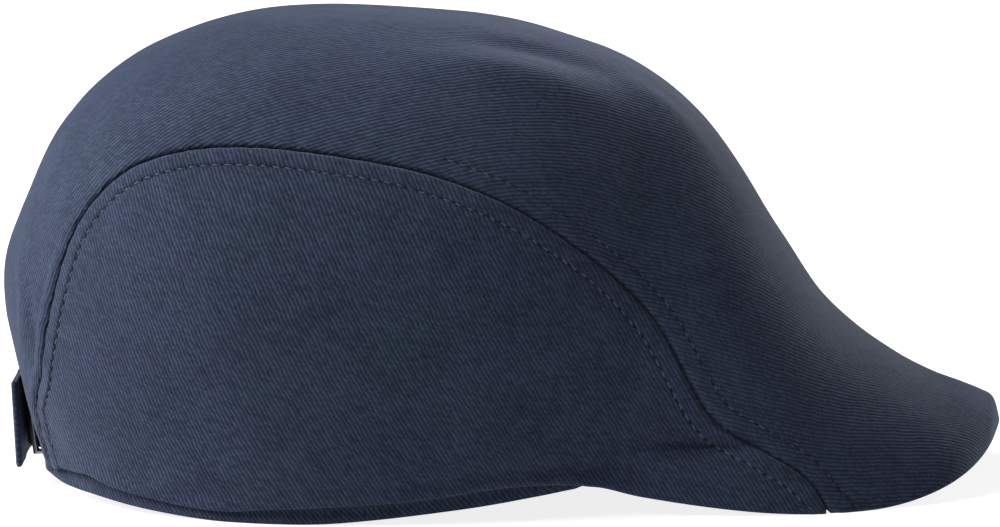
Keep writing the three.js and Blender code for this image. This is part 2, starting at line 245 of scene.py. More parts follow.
class CapColours(bpy.types.PropertyGroup):
    """Colours of the cloth, thread and metal."""

    ridge: FloatVectorProperty(
        name="Twill ridge", description="Colour of the cloth's ridges",
        subtype="COLOR", size=3, default=(0.0298, 0.0402, 0.0715), min=0, max=1)
    # Painted shade: the darker groove colour stands for the shade that falls between the twill's ridges.
    shaded_groove: FloatVectorProperty(
        name="Twill groove", description="Colour between the cloth's ridges",
        subtype="COLOR", size=3, default=(0.0108, 0.0156, 0.0290), min=0, max=1)
    thread: FloatVectorProperty(
        name="Thread", description="Colour of the sewing thread",
        subtype="COLOR", size=3, default=(0.042, 0.057, 0.098), min=0, max=1)
    sheen: FloatVectorProperty(
        name="Fuzz", description="Tint of the cotton's soft sheen",
        subtype="COLOR", size=3, default=(0.62, 0.72, 1.0), min=0, max=1)
    # The slide's dark colour paints the shade that it sits in.
    metal: FloatVectorProperty(
        name="Slide metal", description="Colour of the metal slide",
        subtype="COLOR", size=3, default=(0.11, 0.115, 0.125), min=0, max=1)
    floor: FloatVectorProperty(
        name="Floor", description="Colour of the floor",
        subtype="COLOR", size=3, default=(0.30, 0.30, 0.30), min=0, max=1)


def smooth(low, high, value):
    """Smooth step from 0 at low to 1 at high."""
    t = np.clip((value - low) / (high - low), 0.0, 1.0)
    return t * t * (3.0 - 2.0 * t)


def signed_power(value, power):
    """Power of the value's size, with the value's sign."""
    return np.sign(value) * np.abs(value) ** power


def fine_rows():
    """The table at closely spaced places, mirrored past the tip so that the peak ends round."""
    mirrored = RIB_ROWS[-2].copy()
    mirrored[COLUMN["edge_y"]] *= -1
    rows = np.vstack([2 * RIB_ROWS[0] - RIB_ROWS[1], RIB_ROWS, mirrored])
    s = np.arange(TIP * FINE + 1) / FINE
    i = np.minimum(s.astype(int), TIP - 1)
    f = (s - i)[:, None]
    a, b, c, d = (rows[i + k] for k in range(4))
    return 0.5 * (2 * b + (c - a) * f + (2 * a - 5 * b + 4 * c - d) * f**2
                  + (3 * b - a - 3 * c + d) * f**3)


FINE_ROWS = fine_rows()


def rib_values(s):
    """Table values at the places s."""
    place = np.clip(np.asarray(s, float), 0, TIP) * FINE
    low = np.minimum(place.astype(int), TIP * FINE - 1)
    part = (place - low)[..., None]
    mixed = FINE_ROWS[low] * (1 - part) + FINE_ROWS[low + 1] * part
    return {name: mixed[..., k] for name, k in COLUMN.items()}


def master(s, u):
    """Point of the smooth master surface, with u from -1 (right edge) over 0 (top) to 1 (left edge)."""
    s, u = np.broadcast_arrays(np.asarray(s, float), np.asarray(u, float))
    rib = rib_values(s)
    end = np.radians(rib["end_angle"])
    turn = np.abs(u) * end
    fall = 1 - signed_power(np.cos(turn), rib["round_z"])
    down = fall / (1 - signed_power(np.cos(end), rib["round_z"]))
    out = rib["edge_y"] * np.abs(np.sin(turn) / np.sin(end)) ** rib["round_y"]
    x = rib["top_x"] + (rib["edge_x"] - rib["top_x"]) * down
    z = rib["top_z"] + (rib["edge_z"] - rib["top_z"]) * down
    return np.stack([x, np.sign(u) * out, z], axis=-1)


def unit(vectors):
    """The vectors at length 1."""
    return vectors / np.maximum(np.linalg.norm(vectors, axis=-1, keepdims=True), 1e-9)


def master_normal(s, u):
    """Outward direction of the master surface."""
    near = np.minimum(s, TIP - 0.06)
    along_s = master(near + 0.03, u) - master(near - 0.03, u)
    along_u = master(near, u + 0.005) - master(near, u - 0.005)
    return unit(np.cross(along_s, along_u))


ARC_PLACES = np.linspace(0, TIP, TIP * ARC_FINE + 1)
ARC_POINTS = master(ARC_PLACES[:, None], np.linspace(0, 1, ARC_ACROSS + 1))
ARC_STEPS = np.linalg.norm(np.diff(ARC_POINTS, axis=1), axis=2)
ARC_TABLE = np.pad(np.cumsum(ARC_STEPS, axis=1), ((0, 0), (1, 0)))


def rib_length(s):
    """Length of a rib from the centre line to its lower edge."""
    return np.interp(s, ARC_PLACES, ARC_TABLE[:, -1])


def arc_at(s, u):
    """Signed length along the rib from the centre line to u."""
    across = np.clip(s, 0, TIP) * ARC_FINE
    along = np.clip(np.abs(u), 0, 1) * ARC_ACROSS
    i = np.minimum(across.astype(int), TIP * ARC_FINE - 1)
    j = np.minimum(along.astype(int), ARC_ACROSS - 1)
    f = across - i
    g = along - j
    lower = ARC_TABLE[i, j] * (1 - g) + ARC_TABLE[i, j + 1] * g
    upper = ARC_TABLE[i + 1, j] * (1 - g) + ARC_TABLE[i + 1, j + 1] * g
    return np.sign(u) * (lower * (1 - f) + upper * f)


def nearest_on_line(points, line):
    """Distance from each point to a polyline, and how far along the line the nearest place is."""
    steps = np.diff(line, axis=0)
    lengths = np.linalg.norm(steps, axis=1)
    starts = np.concatenate([[0], np.cumsum(lengths)[:-1]])
    flat = points.reshape(-1, 3)
    best = np.full(len(flat), np.inf)
    along = np.zeros(len(flat))
    for first, step, length, start in zip(line[:-1], steps, lengths, starts):
        t = np.clip((flat - first) @ step / length**2, 0, 1)
        distance = np.linalg.norm(flat - first - t[:, None] * step, axis=1)
        closer = distance < best
        best[closer] = distance[closer]
        along[closer] = start + t[closer] * length
    return best.reshape(points.shape[:-1]), along.reshape(points.shape[:-1])


def soft_noise(points, size, seed):
    """Smooth noise from -1 to 1 in space, with lumps about `size` mm across."""
    cells = 32
    lattice = np.random.default_rng(seed).uniform(-1, 1, (cells, cells, cells))
    place = points / size
    low = np.floor(place).astype(int)
    part = place - low
    part = part * part * (3 - 2 * part)
    total = np.zeros(points.shape[:-1])
    for corner in np.ndindex(2, 2, 2):
        weight = np.prod(np.where(corner, part, 1 - part), axis=-1)
        cell = (low + corner) % cells
        total += weight * lattice[cell[..., 0], cell[..., 1], cell[..., 2]]
    return total


def fold_height(points):
    """Height of all dents and folds at points of the master surface."""
    height = np.zeros(points.shape[:-1])
    from_side = points[..., (0, 2)]
    from_above = np.stack([points[..., 0], np.abs(points[..., 1])], axis=-1)
    high = smooth(*CROWN_HEIGHTS, points[..., 2])
    for rows, place, weight in ((FOLD_ROWS, from_side, 1.0), (TOP_FOLD_ROWS, from_above, high)):
        for x0, y0, x1, y1, width, rise in rows:
            start = np.array((x0, y0), float)
            along = np.array((x1 - x0, y1 - y0), float)
            t = np.clip((place - start) @ along / (along @ along), 0, 1)
            distance = np.linalg.norm(place - start - t[..., None] * along, axis=-1) / width
            taper = 0.35 + 0.65 * np.sin(np.pi * np.clip(t, 0.02, 0.98))
            height += rise * taper * np.exp(-distance**2) * weight
    return height * np.minimum(1, np.abs(points[..., 1]) / FOLD_FADE)


SEAM_PLACES = np.linspace(0.3, 16.46, 260)
SEAM_LINE = master(SEAM_PLACES, -np.minimum(rib_values(SEAM_PLACES)["seam"], 1))


def seam_distance(points):
    """Distance to the panel seam on the point's own side, and how far along the seam it is."""
    right = points.copy()
    right[..., 1] = -np.abs(right[..., 1])
    return nearest_on_line(right, SEAM_LINE)


def rounded(value, middle, width):
    """Rounded ridge, 1 high at the middle and fading over the width on both sides."""
    return np.exp(-((value - middle) / width) ** 2)


def seam_waves(along, distance, pitch, wander, wander_pitch, reach):
    """Uneven waves along the seam that fade out within reach of it."""
    swing = wander * np.sin(along / wander_pitch)
    return np.sin(along * 2 * np.pi / pitch + swing) * np.exp(-distance / reach)


def relief(points, allowance, is_side):
    """How far the cloth stands out: soft noise, folds, the raised seam allowance and its puckers."""
    distance, along = seam_distance(points)
    height = fold_height(points)
    height += 0.35 * soft_noise(points, 26, 3) + 0.12 * soft_noise(points, 9, 4)

    # The turned-in cloth lifts the strip between the seam and its topstitching.
    front = smooth(FRONT_STITCHES - 6, FRONT_STITCHES + 6, along)
    stitched = np.ones_like(distance) if is_side else front
    strip = smooth(0.2, 1.4, distance) * (1 - smooth(allowance - 0.7, allowance + 0.9, distance))
    height += (0.45 if is_side else 0.30) * stitched * strip

    # At the back the centre panel bulges beside the seam.
    if not is_side:
        height += 0.55 * (1 - smooth(55, 95, along)) * rounded(distance, 2.8, 1.5)

    # Puckers, stronger at the back, and small gathers from stitch to stitch.
    pucker_height = 0.12 + 0.12 * (1 - smooth(0, 90, along))
    height += pucker_height * seam_waves(along, distance, 7.3, 2.2, 11, 5.5)
    height += 0.07 * seam_waves(along, distance, 3.3, 1.1, 7, 2.0)

    # The cloth sinks under the topstitching and at the seam.
    height -= 0.30 * stitched * rounded(distance, allowance, 0.5)
    height -= 0.45 * rounded(distance, 0, 0.8)
    return height


def hem_roll(s, u):
    """Height of the rolled hem at the lower edge of a side panel."""
    above = (np.minimum(rib_values(s)["hem"], 1) - np.abs(u)) * rib_length(s)
    rolled = 0.12 + 0.48 * smooth(6.0, 8.5, s) * (1 - smooth(12.5, 14.0, s))
    return rolled * (rounded(above, 1.2, 1.4) - 0.6 * rounded(above, 5.0, 1.6))


class Sheet:
    """A closed cloth sheet with round edges, laid on surface(c, w, depth).

    c runs along the sheet and w across it, both from 0 to 1, and depth is in mm below the outer face.
    """

    RIM_TURNS = np.radians((30, 60, 90, 120, 150))
    END_TURNS = np.radians((12, 35, 60, 90))
    SQUARENESS = 0.6

    def __init__(self, surface, ridges, columns, across, thickness, sewing=None):
        self.surface = surface
        self.maps = {"weave": ridges}
        if sewing:
            self.maps["sewing"] = sewing
        self.columns = np.asarray(columns, float)
        self.across = across
        self.radius = 0.5 * thickness

    def width(self, c):
        """Width of the sheet at the places c."""
        w = np.linspace(0, 1, 17)
        points = self.surface(c[:, None] + 0 * w, w + 0 * c[:, None], 0 * (c[:, None] + w))
        return np.linalg.norm(np.diff(points, axis=1), axis=2).sum(axis=1)

    def loop(self):
        """Rows round the cross-section: where on the sheet, how far in from the edge, and how deep."""
        r = self.radius
        rim = len(self.RIM_TURNS)
        flat = np.linspace(0, 1, self.across + 1)
        rim_inset = r - r * np.sin(self.RIM_TURNS) ** self.SQUARENESS
        rim_depth = r - r * np.cos(self.RIM_TURNS)
        w = np.concatenate([flat, np.ones(rim), flat[::-1], np.zeros(rim)])
        inset = np.concatenate([r + 0 * flat, rim_inset, r + 0 * flat, rim_inset[::-1]])
        depth = np.concatenate([0 * flat, rim_depth, 2 * r + 0 * flat, rim_depth[::-1]])
        return w, inset, depth

    def mesh_data(self):
        """Points by column and row, and the maps' values at them."""
        r = self.radius
        w, inset, depth = self.loop()
        ends = self.END_TURNS
        middle = len(self.columns) - 2
        first, last = self.columns[0], self.columns[-1]
        c = np.concatenate([np.full(len(ends), first), self.columns[1:-1], np.full(len(ends), last)])
        bend = np.concatenate([ends, np.full(middle, np.pi / 2), ends[::-1]])
        side = np.concatenate([np.ones(len(ends)), np.zeros(middle), -np.ones(len(ends))])
        span = self.width(c)[:, None]
        shrink = np.minimum(inset[None, :] / span, 0.5)
        place = np.where(w == 0, shrink, np.where(w == 1, 1 - shrink, shrink + (1 - 2 * shrink) * w))
        step = 0.004 * (last - first)
        ends_of_sheet = np.array((first, first + step, last - step, last))[:, None] + 0 * w
        at_ends = self.surface(ends_of_sheet, place[(0, 0, -1, -1), :], 0 * ends_of_sheet)
        speeds = np.linalg.norm(at_ends[1::2] - at_ends[0::2], axis=2) / step
        speed = np.where(side[:, None] < 0, speeds[1], speeds[0])
        moved = c[:, None] + side[:, None] * (r - r * np.cos(bend))[:, None] / np.maximum(speed, 1e-6)
        deep = r + (depth[None, :] - r) * np.sin(bend)[:, None]
        points = self.surface(moved, place, deep)
        return points, {name: made(moved, place).reshape(-1, 2) for name, made in self.maps.items()}

    def build(self, name):
        """Make the sheet's mesh object, closed at both ends."""
        points, maps = self.mesh_data()
        columns, rows = points.shape[:2]
        index = np.arange(columns * rows).reshape(columns, rows)
        turned = np.roll(index, -1, axis=1)
        quads = np.stack([index[:-1], index[1:], turned[1:], turned[:-1]], axis=-1).reshape(-1, 4)
        faces = quads.tolist()
        n = self.across
        past_rim = n + len(self.RIM_TURNS) + 1
        inner = n + past_rim
        for j, flip in ((0, False), (columns - 1, True)):
            cap = [[index[j, k], index[j, k + 1], index[j, inner - k - 1], index[j, inner - k]]
                   for k in range(n)]
            cap.append(list(index[j, n:past_rim + 1]))
            cap.append(list(index[j, inner:]) + [index[j, 0]])
            faces += [[int(v) for v in (face[::-1] if flip else face)] for face in cap]
        return make_object(name, points.reshape(-1, 3), faces, maps)


def make_object(name, points, faces, maps=None):
    """Mesh object from points in mm, with its UV maps, in mm too."""
    mesh = bpy.data.meshes.new(name)
    shifted = np.asarray(points, float) + np.array((MIDDLE_SHIFT, 0, 0))
    shifted[:, 2] = np.maximum(shifted[:, 2], 0)
    mesh.from_pydata((shifted * MM).tolist(), [], faces)
    corners = np.empty(len(mesh.loops), dtype=np.int32)
    mesh.loops.foreach_get("vertex_index", corners)
    for layer_name, values in (maps or {}).items():
        layer = mesh.uv_layers.new(name=layer_name)
        layer.data.foreach_set("uv", values[corners].astype(np.float32).ravel())
    mesh.validate(clean_customdata=False)
    mesh.update()
    obj = bpy.data.objects.new(name, mesh)
    bpy.context.scene.collection.objects.link(obj)
    mesh.shade_smooth()
    face_outward(mesh)
    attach(obj, "root")
    return obj


def face_outward(mesh):
    """Turn all faces over if the closed mesh is inside out."""
    mesh.calc_loop_triangles()
    count = len(mesh.loop_triangles)
    corners = np.empty(count * 3, dtype=np.int32)
    mesh.loop_triangles.foreach_get("vertices", corners)
    places = np.empty(len(mesh.vertices) * 3, dtype=np.float64)
    mesh.vertices.foreach_get("co", places)
    a, b, c = places.reshape(-1, 3)[corners.reshape(-1, 3)].transpose(1, 0, 2)
    volume = np.einsum("ij,ij->i", a, np.cross(b, c)).sum()
    if volume < 0:
        mesh.flip_normals()


def node(tree, kind, place, **values):
    """Add a node with its plain settings."""
    made = tree.nodes.new(kind)
    made.location = place
    for key, value in values.items():
        setattr(made, key, value)
    return made


def maths(tree, operation, place, *inputs):
    """Math node whose inputs are numbers or sockets."""
    made = node(tree, "ShaderNodeMath", place, operation=operation)
    for socket, value in zip(made.inputs, inputs):
        if isinstance(value, (int, float)):
            socket.default_value = value
        else:
            tree.links.new(value, socket)
    return made.outputs[0]


def noise(tree, place, vector, scale, detail, roughness):
    """Soft noise about zero, `scale` lumps to a millimetre of the weave map."""
    texture = node(tree, "ShaderNodeTexNoise", place, noise_dimensions="2D")
    texture.inputs["Scale"].default_value = scale
    texture.inputs["Detail"].default_value = detail
    texture.inputs["Roughness"].default_value = roughness
    tree.links.new(vector, texture.inputs["Vector"])
    return maths(tree, "SUBTRACT", (place[0] + 160, place[1]), texture.outputs["Fac"], 0.5)


def twill_group():
    """Shader group for twill: rows of short slanted floats, laid along the weave map's V, with painted
    shade in the grooves between them.
    """
    found = bpy.data.node_groups.get("Twill")
    if found:
        return found
    group = bpy.data.node_groups.new("Twill", "ShaderNodeTree")
    face = group.interface
    face.new_socket(name="Weave", in_out="INPUT", socket_type="NodeSocketVector")
    for name, default in (("Pitch", TWILL_PITCH), ("Float", 0.8 * TWILL_PITCH)):
        face.new_socket(name=name, in_out="INPUT", socket_type="NodeSocketFloat").default_value = default
    face.new_socket(name="Ridge Colour", in_out="INPUT", socket_type="NodeSocketColor")
    face.new_socket(name="Shaded Groove Colour", in_out="INPUT", socket_type="NodeSocketColor")
    face.new_socket(name="Colour", in_out="OUTPUT", socket_type="NodeSocketColor")
    face.new_socket(name="Height", in_out="OUTPUT", socket_type="NodeSocketFloat")
    enter = node(group, "NodeGroupInput", (-1800, 0))
    leave = node(group, "NodeGroupOutput", (1200, 0))
    split = node(group, "ShaderNodeSeparateXYZ", (-1600, 100))
    group.links.new(enter.outputs["Weave"], split.inputs[0])

    # The ridges wander a little, and each one is a row of its own.
    wander = noise(group, (-1600, -150), enter.outputs["Weave"], 0.16, 2, 0.5)
    across = maths(group, "MULTIPLY_ADD", (-1400, 100), wander, 0.9, split.outputs["X"])
    turns = maths(group, "DIVIDE", (-1200, 100), across, enter.outputs["Pitch"])
    row = maths(group, "ROUND", (-1000, 200), turns)
    off_row = maths(group, "SUBTRACT", (-800, 200), turns, row)
    ridge = maths(group, "MULTIPLY", (-1000, 60), turns, 2 * math.pi)
    ridge = maths(group, "COSINE", (-800, 60), ridge)
    ridge = maths(group, "MULTIPLY_ADD", (-600, 60), ridge, 0.5, 0.5)

    # The floats of a row are cut off at a slant, each with a tone of its own.
    slant = maths(group, "MULTIPLY_ADD", (-600, 240), off_row, 1.0, split.outputs["Y"])
    slant = maths(group, "DIVIDE", (-400, 240), slant, enter.outputs["Float"])
    slant = maths(group, "MULTIPLY_ADD", (-200, 240), row, 0.37, slant)
    cut = maths(group, "MULTIPLY", (0, 240), slant, 2 * math.pi)
    cut = maths(group, "COSINE", (160, 240), cut)
    cut = maths(group, "MULTIPLY_ADD", (320, 240), cut, 0.16, 0.84)
    cell = node(group, "ShaderNodeCombineXYZ", (0, 420))
    group.links.new(row, cell.inputs["X"])
    group.links.new(maths(group, "ROUND", (-160, 420), slant), cell.inputs["Y"])
    chance = node(group, "ShaderNodeTexWhiteNoise", (160, 420), noise_dimensions="2D")
    group.links.new(cell.outputs[0], chance.inputs["Vector"])
    fibre = noise(group, (-600, -260), enter.outputs["Weave"], 2.6, 3, 0.75)
    height = maths(group, "MULTIPLY", (480, 60), ridge, cut)
    height = maths(group, "MULTIPLY_ADD", (640, 60), fibre, 0.55, height)
    group.links.new(height, leave.inputs["Height"])

    # Painted shade: low parts of the weave take the darker groove colour, as the shade between the ridges.
    mask = node(group, "ShaderNodeMapRange", (800, 60), clamp=True)
    mask.inputs["From Min"].default_value = -0.1
    mask.inputs["From Max"].default_value = 1.05
    group.links.new(height, mask.inputs["Value"])
    mix = node(group, "ShaderNodeMix", (960, 60), data_type="RGBA")
    group.links.new(mask.outputs["Result"], mix.inputs["Factor"])
    group.links.new(enter.outputs["Shaded Groove Colour"], mix.inputs["A"])
    group.links.new(enter.outputs["Ridge Colour"], mix.inputs["B"])

    # Dyed cotton is never quite even: blotches of hue and tone, and single lighter floats.
    blotch = noise(group, (-600, -480), enter.outputs["Weave"], 0.06, 4, 0.6)
    cast = noise(group, (-600, -700), enter.outputs["Weave"], 0.035, 4, 0.6)
    tone = maths(group, "MULTIPLY_ADD", (-200, -480), blotch, 0.5, 1.0)
    tone = maths(group, "MULTIPLY_ADD", (0, -480), chance.outputs["Value"], 0.5, tone)
    tone = maths(group, "SUBTRACT", (160, -480), tone, 0.25)
    hue = maths(group, "MULTIPLY_ADD", (-200, -700), cast, 0.05, 0.5)
    tint = node(group, "ShaderNodeHueSaturation", (1100, -200))
    group.links.new(hue, tint.inputs["Hue"])
    group.links.new(tone, tint.inputs["Value"])
    group.links.new(mix.outputs["Result"], tint.inputs["Color"])
    group.links.new(tint.outputs["Color"], leave.inputs["Colour"])
    return group


def sewing_group():
    """Shader group for painted shade in the seam's crevice and in the grooves under the topstitching, with
    their bump heights.
    """
    found = bpy.data.node_groups.get("Sewing")
    if found:
        return found
    group = bpy.data.node_groups.new("Sewing", "ShaderNodeTree")
    face = group.interface
    face.new_socket(name="Sewing", in_out="INPUT", socket_type="NodeSocketVector")
    for name, default in (("Allowance", ALLOWANCE), ("Front", FRONT_STITCHES)):
        face.new_socket(name=name, in_out="INPUT", socket_type="NodeSocketFloat").default_value = default
    face.new_socket(name="Light", in_out="OUTPUT", socket_type="NodeSocketFloat")
    face.new_socket(name="Height", in_out="OUTPUT", socket_type="NodeSocketFloat")
    enter = node(group, "NodeGroupInput", (-1400, 0))
    leave = node(group, "NodeGroupOutput", (1000, 0))
    split = node(group, "ShaderNodeSeparateXYZ", (-1200, 100))
    group.links.new(enter.outputs["Sewing"], split.inputs[0])
    distance = maths(group, "ABSOLUTE", (-1000, 100), split.outputs["X"])

    # The crevice has an uneven edge with a small tooth at each stitch.
    uneven = noise(group, (-1000, -150), enter.outputs["Sewing"], 0.9, 2, 0.6)
    tooth = maths(group, "MULTIPLY", (-1000, 260), split.outputs["Y"], 2 * math.pi / SEAM_STITCH)
    tooth = maths(group, "COSINE", (-800, 260), tooth)
    tooth = maths(group, "MULTIPLY_ADD", (-600, 260), tooth, 0.16, 0.44)
    edge = maths(group, "MULTIPLY_ADD", (-400, 260), uneven, 0.9, tooth)
    beyond = maths(group, "SUBTRACT", (-200, 200), distance, edge)
    crevice = node(group, "ShaderNodeMapRange", (0, 200), clamp=True, interpolation_type="SMOOTHSTEP")
    crevice.inputs["From Min"].default_value = -0.2
    crevice.inputs["From Max"].default_value = 0.35
    crevice.inputs["To Min"].default_value = 1.0
    crevice.inputs["To Max"].default_value = 0.0
    group.links.new(beyond, crevice.inputs["Value"])

    # The side panels are stitched all along the seam, the centre panel only at the front.
    on_side = maths(group, "GREATER_THAN", (-1000, -400), split.outputs["X"], 0.0)
    in_front = maths(group, "GREATER_THAN", (-1000, -560), split.outputs["Y"], enter.outputs["Front"])
    stitched = maths(group, "MAXIMUM", (-800, -480), on_side, in_front)
    off_row = maths(group, "SUBTRACT", (-800, -250), distance, enter.outputs["Allowance"])
    off_row = maths(group, "ABSOLUTE", (-600, -250), off_row)
    shaded_groove = node(group, "ShaderNodeMapRange", (-400, -250), clamp=True, interpolation_type="SMOOTHSTEP")
    shaded_groove.inputs["From Min"].default_value = 0.1
    shaded_groove.inputs["From Max"].default_value = 0.6
    shaded_groove.inputs["To Min"].default_value = 1.0
    shaded_groove.inputs["To Max"].default_value = 0.0
    group.links.new(off_row, shaded_groove.inputs["Value"])
    row = maths(group, "MULTIPLY", (-200, -300), shaded_groove.outputs["Result"], stitched)

    # Painted shade: the colour is darkened in the seam's crevice and in the grooves under the topstitching.
    light = maths(group, "MULTIPLY_ADD", (300, 150), crevice.outputs["Result"], -0.4, 1.0)
    light = maths(group, "MULTIPLY_ADD", (500, 150), row, -0.4, light)
    light = maths(group, "MAXIMUM", (700, 150), light, 0.1)
    group.links.new(light, leave.inputs["Light"])
    height = maths(group, "MULTIPLY", (300, -150), crevice.outputs["Result"], -0.3)
    height = maths(group, "MULTIPLY_ADD", (500, -150), row, -0.12, height)
    group.links.new(height, leave.inputs["Height"])
    return group


def twill_material(name, pitch, colours, darker=1.0, fuzz=0.10, sewn=False):
    """Cotton twill with ridges `pitch` mm apart; `sewn` adds painted shade and bumps at the seam's crevice
    and grooves.
    """
    material = bpy.data.materials.new(name)
    material.use_nodes = True
    tree = material.node_tree
    shader = tree.nodes["Principled BSDF"]
    shader.inputs["Roughness"].default_value = 0.85
    shader.inputs["Specular IOR Level"].default_value = 0.08
    shader.inputs["Sheen Weight"].default_value = fuzz
    shader.inputs["Sheen Roughness"].default_value = 0.45
    shader.inputs["Sheen Tint"].default_value = (*colours.sheen, 1)
    weave = node(tree, "ShaderNodeUVMap", (-900, 0), uv_map="weave")
    twill = node(tree, "ShaderNodeGroup", (-650, 0), node_tree=twill_group())
    twill.inputs["Pitch"].default_value = pitch
    twill.inputs["Float"].default_value = 0.8 * pitch
    twill.inputs["Ridge Colour"].default_value = (*(darker * v for v in colours.ridge), 1)
    twill.inputs["Shaded Groove Colour"].default_value = (*(darker * v for v in colours.shaded_groove), 1)
    tree.links.new(weave.outputs["UV"], twill.inputs["Weave"])
    colour = twill.outputs["Colour"]
    height = maths(tree, "MULTIPLY", (-450, -300), twill.outputs["Height"], 0.24)
    if sewn:
        place = node(tree, "ShaderNodeUVMap", (-900, -500), uv_map="sewing")
        sewing = node(tree, "ShaderNodeGroup", (-650, -500), node_tree=sewing_group())
        tree.links.new(place.outputs["UV"], sewing.inputs["Sewing"])
        height = maths(tree, "ADD", (-300, -400), height, sewing.outputs["Height"])
        shaded = node(tree, "ShaderNodeVectorMath", (-300, 0), operation="SCALE")
        tree.links.new(colour, shaded.inputs[0])
        tree.links.new(sewing.outputs["Light"], shaded.inputs["Scale"])
        colour = shaded.outputs["Vector"]
    tree.links.new(colour, shader.inputs["Base Color"])
    bump = node(tree, "ShaderNodeBump", (-150, -300))
    bump.inputs["Strength"].default_value = 0.6
    bump.inputs["Distance"].default_value = MM
    tree.links.new(height, bump.inputs["Height"])
    tree.links.new(bump.outputs["Normal"], shader.inputs["Normal"])
    return material


def thread_material(colours):
    """Twisted sewing thread."""
    material = bpy.data.materials.new("sewing_thread")
    material.use_nodes = True
    tree = material.node_tree
    shader = tree.nodes["Principled BSDF"]
    shader.inputs["Roughness"].default_value = 0.6
    shader.inputs["Sheen Weight"].default_value = 0.2
    place = node(tree, "ShaderNodeTexCoord", (-900, 0))
    twist = node(tree, "ShaderNodeTexNoise", (-700, 0))
    twist.inputs["Scale"].default_value = 2500
    tree.links.new(place.outputs["Object"], twist.inputs["Vector"])
    mix = node(tree, "ShaderNodeMix", (-450, 0), data_type="RGBA")
    mix.inputs["A"].default_value = (*(0.6 * v for v in colours.thread), 1)
    mix.inputs["B"].default_value = (*colours.thread, 1)
    tree.links.new(twist.outputs["Fac"], mix.inputs["Factor"])
    tree.links.new(mix.outputs["Result"], shader.inputs["Base Color"])
    bump = node(tree, "ShaderNodeBump", (-300, -300))
    bump.inputs["Distance"].default_value = 0.05 * MM
    tree.links.new(twist.outputs["Fac"], bump.inputs["Height"])
    tree.links.new(bump.outputs["Normal"], shader.inputs["Normal"])
    return material


def hole_material(colours):
    """The shaded cloth inside a needle hole."""
    material = bpy.data.materials.new("needle_hole_shade")
    material.use_nodes = True
    shader = material.node_tree.nodes["Principled BSDF"]
    shader.inputs["Base Color"].default_value = (*(0.5 * v for v in colours.shaded_groove), 1)
    shader.inputs["Roughness"].default_value = 1.0
    shader.inputs["Specular IOR Level"].default_value = 0.0
    return material


def metal_material(colours):
    """Plain plated steel with fine wear; its colour is darkened to paint the shade that the slide sits in.
    """
    material = bpy.data.materials.new("slide_steel")
    material.use_nodes = True
    tree = material.node_tree
    shader = tree.nodes["Principled BSDF"]
    shader.inputs["Metallic"].default_value = 1.0
    shader.inputs["Base Color"].default_value = (*colours.metal, 1)
    place = node(tree, "ShaderNodeTexCoord", (-900, 0))
    scuff = node(tree, "ShaderNodeTexNoise", (-700, 0))
    scuff.inputs["Scale"].default_value = 900
    tree.links.new(place.outputs["Object"], scuff.inputs["Vector"])
    worn = node(tree, "ShaderNodeMapRange", (-450, 0))
    worn.inputs["To Min"].default_value = 0.22
    worn.inputs["To Max"].default_value = 0.42
    tree.links.new(scuff.outputs["Fac"], worn.inputs["Value"])
    tree.links.new(worn.outputs["Result"], shader.inputs["Roughness"])
    return material


def material_named(name):
    """One of the cap's materials, made when it is first asked for."""
    found = bpy.data.materials.get(name)
    if found:
        return found
    sizes = bpy.context.scene.cap_sizes
    colours = bpy.context.scene.cap_colours
    panel_pitch = sizes.twill_pitch / MM
    band_pitch = sizes.band_pitch / MM
    if name == "panel_cotton":
        return twill_material(name, panel_pitch, colours, sewn=True)
    if name == "strap_cotton":
        return twill_material(name, panel_pitch, colours)
    if name == "band_cotton":
        return twill_material(name, band_pitch, colours, darker=0.92)
    # Dark webbing; its colour is darkened further to paint the deep shade behind the strap's free end.
    if name == "shaded_webbing":
        return twill_material(name, band_pitch, colours, darker=0.25, fuzz=0.02)
    if name == "under_cotton":
        return twill_material(name, panel_pitch, colours, darker=0.85)
    if name == "sewing_thread":
        return thread_material(colours)
    if name == "needle_hole_shade":
        return hole_material(colours)
    return metal_material(colours)


def dress(obj, material, slot, *nodes):
    """Give a piece its material and hide the solids that it stands for; the record slot is not used."""
    obj.data.materials.append(material_named(material))
    if nodes:
        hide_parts(*nodes)


def panel_point(s, u, depth, allowance, is_side):
    """Point of a panel, `depth` mm below its outer face."""
    points = master(s, u)
    lift = relief(points, allowance, is_side) - depth
    if is_side:
        lift = lift + hem_roll(s, u)
    return points + master_normal(s, u) * lift[..., None]


def sewing_map(s, u, is_side):
    """Distance to the seam, negative on the centre panel, and how far along the seam, in mm."""
    distance, along = seam_distance(master(s, u))
    return np.stack([distance if is_side else -distance, along], axis=-1)


def running_total(steps):
    """Running total of the steps, from 0."""
    return np.concatenate([[0], np.cumsum(steps)])


# Length along the centre line, and how far the leaning ridges have moved sideways on the way.
CENTRE_PLACES = np.linspace(0, TIP, 900)
CENTRE_STEPS = np.linalg.norm(np.diff(master(CENTRE_PLACES, 0), axis=0), axis=1)
CENTRE_ARC = running_total(CENTRE_STEPS)
CENTRE_SLOPE = np.tan(np.radians(np.interp(CENTRE_PLACES[1:], RIDGE_LEAN_RIBS, RIDGE_LEAN)))
CENTRE_LEAN = running_total(CENTRE_STEPS * CENTRE_SLOPE)


def leaning(along, up, lean):
    """Ridge coordinates of cloth whose ridges lean by the two numbers of `lean`."""
    return np.stack([along * lean[0] + up * lean[1], along * lean[1] - up * lean[0]], axis=-1)


def even_stations(first, last, step):
    """Places along the ribs about `step` mm apart on the side of the cap, more closely set at the tip."""
    s = np.linspace(first, last, 1200)
    top = master(s, 0)
    edge = master(s, -1)
    moves = np.maximum(np.linalg.norm(np.diff(top, axis=0), axis=1),
                       np.linalg.norm(np.diff(edge, axis=0), axis=1))
    arc = running_total(moves)
    count = int(round(arc[-1] / step))
    return np.interp(np.linspace(0, arc[-1], count + 1), arc, s)


